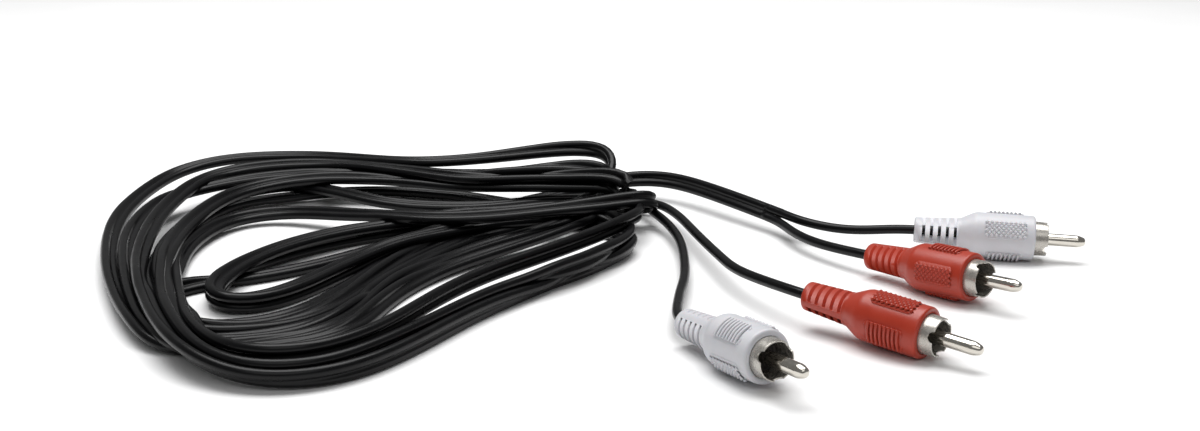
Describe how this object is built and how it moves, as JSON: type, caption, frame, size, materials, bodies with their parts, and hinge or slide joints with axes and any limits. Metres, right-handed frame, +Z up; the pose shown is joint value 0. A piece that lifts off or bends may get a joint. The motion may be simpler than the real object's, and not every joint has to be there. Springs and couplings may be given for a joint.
{
  "type": "audio cable",
  "caption": "Stereo audio cable: black twin cord in a loose hank, split at both ends into two leads with moulded phono plugs, white and red.",
  "frame": {"origin": "the surface the cable lies on, under the middle of the four plugs", "axes": "+Z up; the hank lies on the -X side, and the plugs point towards +X and -Y"},
  "size_m": [0.2596, 0.1883, 0.014],
  "materials": {
    "cord_black": "satin black PVC sheath",
    "moulding_white": "soft satin white PVC",
    "moulding_red": "soft satin red PVC",
    "contact_nickel": "bright nickel plate",
    "insulator_dark": "dark moulded plastic"
  },
  "bodies": {
    "root": {"cable_hank": "cord_black", "far_twin_tail": "cord_black", "near_white_lead": "cord_black", "near_red_lead": "cord_black", "far_red_lead": "cord_black", "far_white_lead": "cord_black", "near_white_moulding": "moulding_white", "far_white_moulding": "moulding_white", "near_red_moulding": "moulding_red", "far_red_moulding": "moulding_red", "near_white_shell": "contact_nickel", "near_red_shell": "contact_nickel", "far_red_shell": "contact_nickel", "far_white_shell": "contact_nickel", "near_white_pin": "contact_nickel", "near_red_pin": "contact_nickel", "far_red_pin": "contact_nickel", "far_white_pin": "contact_nickel", "near_white_insulator": "insulator_dark", "near_red_insulator": "insulator_dark", "far_red_insulator": "insulator_dark", "far_white_insulator": "insulator_dark"}
  },
  "joints": []
}
